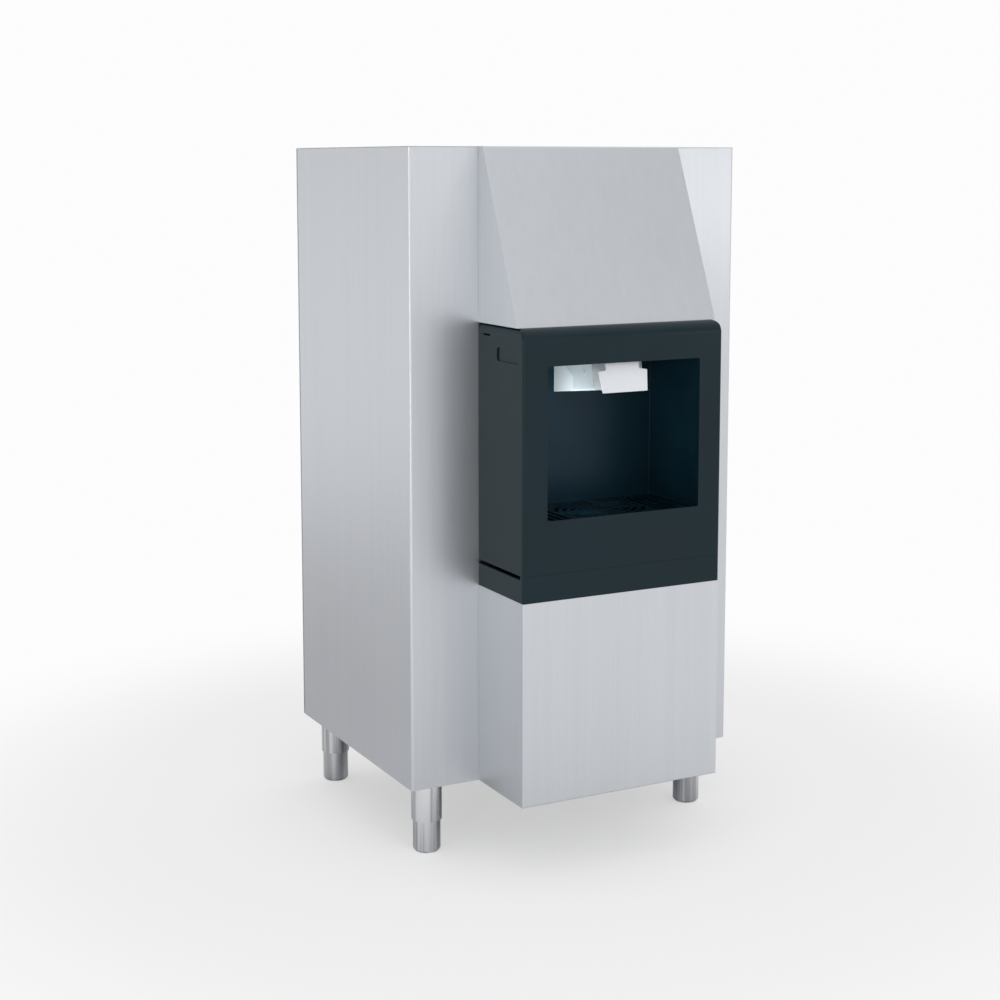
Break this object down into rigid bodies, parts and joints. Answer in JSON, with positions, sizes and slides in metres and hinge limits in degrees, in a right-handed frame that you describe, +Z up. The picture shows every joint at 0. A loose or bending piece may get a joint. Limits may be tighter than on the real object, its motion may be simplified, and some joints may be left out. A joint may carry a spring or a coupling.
{
  "type": "ice dispenser",
  "caption": "Floor-standing stainless ice dispenser: folded cabinet on round legs, sloped hood, black alcove with chute, push flap, drip tray and grille, open top that carries an ice maker.",
  "frame": {"origin": "centre of the footprint on the floor", "axes": "+X to the machine's left-hand side as seen from behind, which is the viewer's right from the front; -Y out of the alcove towards the user; +Z up"},
  "size_m": [0.762, 0.7877, 1.4478],
  "materials": {
    "brushed_stainless": "brushed",
    "zinc_sheet": "dull zinc",
    "leg_steel": "polished",
    "white_plastic": "smooth",
    "black_plastic": "satin",
    "bright_steel": "ground",
    "grey_nylon": "moulded",
    "clear_vinyl": "smooth",
    "dark_rubber": "matte",
    "foam": "foamed",
    "bracket_paint": "satin paint",
    "black_switch": "moulded",
    "red_rocker": "moulded",
    "motor_paint": "satin paint",
    "coil_tape": "wrapped tape",
    "green_board": "coated board"
  },
  "bodies": {
    "cabinet": {"left_side_panel": "brushed_stainless", "right_side_panel": "brushed_stainless", "top_frame": "brushed_stainless", "rear_panel": "brushed_stainless", "hood": "brushed_stainless", "lower_front_panel": "brushed_stainless", "base_pan": "zinc_sheet", "front_bulkhead": "zinc_sheet", "rear_bulkhead": "zinc_sheet", "bin_floor_sheet": "zinc_sheet", "solenoid_frame": "zinc_sheet", "motor_bracket": "zinc_sheet", "control_box": "zinc_sheet", "control_box_cover": "zinc_sheet", "leg_front_left": "leg_steel", "leg_front_right": "leg_steel", "leg_rear_left": "leg_steel", "leg_rear_right": "leg_steel", "bin_liner": "white_plastic", "outlet_throat": "white_plastic", "ice_chute": "white_plastic", "bezel": "black_plastic", "lower_band": "black_plastic", "alcove_liner": "black_plastic", "drip_tray": "black_plastic", "drip_grille": "black_plastic", "flap_pin": "bright_steel", "flap_spring": "bright_steel", "front_bush": "grey_nylon", "rear_bush": "grey_nylon", "bin_drain_fitting": "grey_nylon", "drain_tee": "grey_nylon", "bin_drain_hose": "clear_vinyl", "sink_drain_hose": "clear_vinyl", "motor_cable": "dark_rubber", "solenoid_cable": "dark_rubber", "switch_cable": "dark_rubber", "cord_gland": "dark_rubber", "bin_insulation": "foam", "flap_bracket": "bracket_paint", "microswitch": "black_switch", "power_switch_body": "black_switch", "gearbox": "motor_paint", "drive_motor": "motor_paint", "solenoid_coil": "coil_tape", "control_board": "green_board"},
    "drive": {"drive_shaft": "bright_steel", "paddle_wheel": "white_plastic", "agitator": "bright_steel", "shaft_collar": "bright_steel"},
    "gate": {"ice_gate": "white_plastic", "gate_shaft": "bright_steel"},
    "plunger": {"solenoid_plunger": "bright_steel"},
    "flap": {"push_flap": "white_plastic"},
    "lever": {"switch_lever": "bright_steel"},
    "rocker": {"power_rocker": "red_rocker"},
    "foot_front_left": {"foot_front_left": "leg_steel"},
    "foot_front_right": {"foot_front_right": "leg_steel"},
    "foot_rear_left": {"foot_rear_left": "leg_steel"},
    "foot_rear_right": {"foot_rear_right": "leg_steel"}
  },
  "joints": [
    {"name": "drive_spin", "type": "hinge", "parent": "cabinet", "child": "drive", "pos_m": [0, 0, 0.93], "axis": [0, 1, 0], "continuous": true},
    {"name": "gate_swing", "type": "hinge", "parent": "cabinet", "child": "gate", "pos_m": [0, -0.2132, 1.172], "axis": [-1, 0, 0], "range_deg": [0, 45]},
    {"name": "plunger_lift", "type": "slide", "parent": "cabinet", "child": "plunger", "axis": [0, 0, 1], "range_m": [0, 0.0184]},
    {"name": "flap_push", "type": "hinge", "parent": "cabinet", "child": "flap", "pos_m": [0, -0.3652, 1.075], "axis": [1, 0, 0], "range_deg": [0, 8], "stiffness_Nm_per_rad": 0.1, "springref_deg": -22.92},
    {"name": "lever_press", "type": "hinge", "parent": "cabinet", "child": "lever", "pos_m": [-0.0116, -0.3577, 1.0598], "axis": [0, 0, 1], "range_deg": [0, 6.1]},
    {"name": "rocker_tip", "type": "hinge", "parent": "cabinet", "child": "rocker", "pos_m": [-0.105, -0.3023, 0.446], "axis": [-1, 0, 0], "range_deg": [0, 18]},
    {"name": "foot_front_left_screw", "type": "slide", "parent": "cabinet", "child": "foot_front_left", "axis": [0, 0, -1], "range_m": [0, 0.0254]},
    {"name": "foot_front_right_screw", "type": "slide", "parent": "cabinet", "child": "foot_front_right", "axis": [0, 0, -1], "range_m": [0, 0.0254]},
    {"name": "foot_rear_left_screw", "type": "slide", "parent": "cabinet", "child": "foot_rear_left", "axis": [0, 0, -1], "range_m": [0, 0.0254]},
    {"name": "foot_rear_right_screw", "type": "slide", "parent": "cabinet", "child": "foot_rear_right", "axis": [0, 0, -1], "range_m": [0, 0.0254]}
  ],
  "couplings": [
    {"joint": "plunger_lift", "follows": "gate_swing", "m_per_rad": 0.023389},
    {"joint": "lever_press", "follows": "flap_push", "ratio": 0.75}
  ]
}
